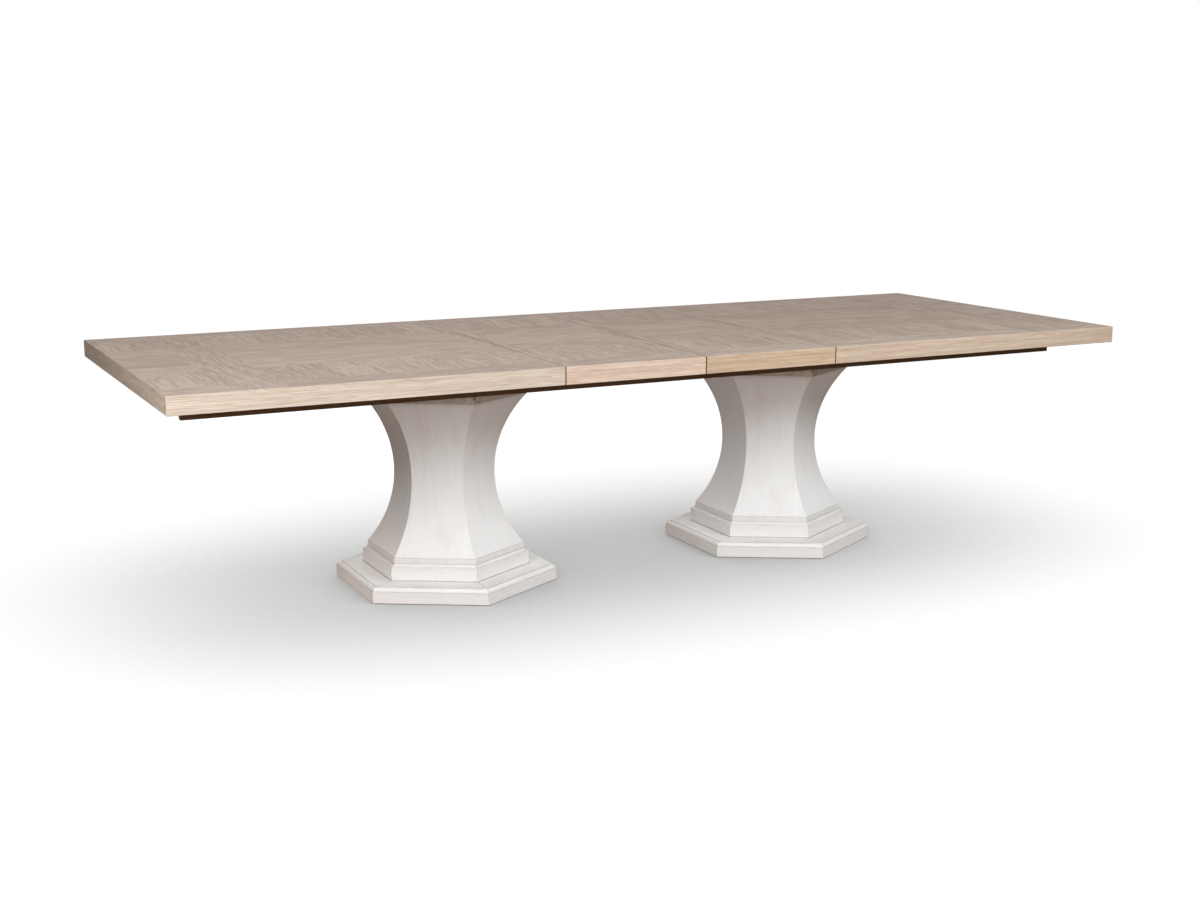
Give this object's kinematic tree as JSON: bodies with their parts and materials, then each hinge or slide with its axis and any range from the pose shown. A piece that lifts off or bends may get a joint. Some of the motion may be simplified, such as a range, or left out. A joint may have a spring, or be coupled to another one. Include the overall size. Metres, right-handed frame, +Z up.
{
  "type": "extending dining table",
  "caption": "Long rectangular pedestal dining table that opens on slides for drop-in leaves, with hollow-curved hexagonal columns on stepped plinths.",
  "frame": {"origin": "on the floor, under the centre of the table, midway between the pedestals", "axes": "+X along the table towards the right half, +Y to the back long side, +Z up"},
  "size_m": [3.1518, 1.194, 0.75],
  "materials": {
    "oak_veneer_top": "weathered grey oak veneer, matt lacquer",
    "oak_edging": "light oak, matt lacquer",
    "dark_apron": "dark espresso stain, satin",
    "slide_beech": "waxed beech",
    "antique_white_wood": "brushed antique white paint with brown glaze, satin",
    "plywood": "plain plywood",
    "zinc_steel": "zinc plated",
    "nylon": "natural nylon"
  },
  "bodies": {
    "base": {"fixed_rail_front": "slide_beech", "fixed_rail_back": "slide_beech", "rail_ties": "slide_beech", "wear_strips": "nylon", "bridge_board": "slide_beech", "pinion_pin": "zinc_steel", "plinth_frame_left": "antique_white_wood", "base_panel_left": "plywood", "tier_frame_left": "antique_white_wood", "column_left": "antique_white_wood", "top_band_left": "antique_white_wood", "mounting_board_left": "plywood", "pedestal_bolts_left": "zinc_steel", "glides_left": "nylon", "plinth_frame_right": "antique_white_wood", "base_panel_right": "plywood", "tier_frame_right": "antique_white_wood", "column_right": "antique_white_wood", "top_band_right": "antique_white_wood", "mounting_board_right": "plywood", "pedestal_bolts_right": "zinc_steel", "glides_right": "nylon"},
    "half_left": {"top_panel_left": "oak_veneer_top", "edging_front_left": "oak_edging", "edging_back_left": "oak_edging", "edging_end_left": "oak_edging", "apron_front_left": "dark_apron", "apron_back_left": "dark_apron", "apron_end_left": "dark_apron", "runner_front_left": "slide_beech", "runner_back_left": "slide_beech", "cross_rail_left": "slide_beech", "rack_left": "nylon", "screws_left": "zinc_steel"},
    "leaf_left": {"leaf_panel_left": "oak_veneer_top", "leaf_edging_front_left": "oak_edging", "leaf_edging_back_left": "oak_edging", "leaf_apron_front_left": "dark_apron", "leaf_apron_back_left": "dark_apron", "leaf_battens_left": "slide_beech"},
    "half_right": {"top_panel_right": "oak_veneer_top", "edging_front_right": "oak_edging", "edging_back_right": "oak_edging", "edging_end_right": "oak_edging", "apron_front_right": "dark_apron", "apron_back_right": "dark_apron", "apron_end_right": "dark_apron", "runner_front_right": "slide_beech", "runner_back_right": "slide_beech", "cross_rail_right": "slide_beech", "rack_right": "nylon", "screws_right": "zinc_steel"},
    "leaf_right": {"leaf_panel_right": "oak_veneer_top", "leaf_edging_front_right": "oak_edging", "leaf_edging_back_right": "oak_edging", "leaf_apron_front_right": "dark_apron", "leaf_apron_back_right": "dark_apron", "leaf_battens_right": "slide_beech"},
    "pinion": {"pinion": "nylon"}
  },
  "joints": [
    {"name": "half_left_slide", "type": "slide", "parent": "base", "child": "half_left", "axis": [-1, 0, 0], "range_m": [0, 0.06]},
    {"name": "half_right_slide", "type": "slide", "parent": "base", "child": "half_right", "axis": [1, 0, 0], "range_m": [0, 0.06]},
    {"name": "pinion_spin", "type": "hinge", "parent": "base", "child": "pinion", "pos_m": [0, 0, 0.691], "axis": [0, 0, 1], "range_deg": [0, 96]},
    {"name": "leaf_left_lift", "type": "slide", "parent": "base", "child": "leaf_left", "axis": [0, 0, 1], "range_m": [0, 0.3]},
    {"name": "leaf_right_lift", "type": "slide", "parent": "base", "child": "leaf_right", "axis": [0, 0, 1], "range_m": [0, 0.3]}
  ],
  "couplings": [
    {"joint": "half_right_slide", "follows": "half_left_slide", "ratio": 1},
    {"joint": "pinion_spin", "follows": "half_left_slide", "rad_per_m": 27.778}
  ]
}
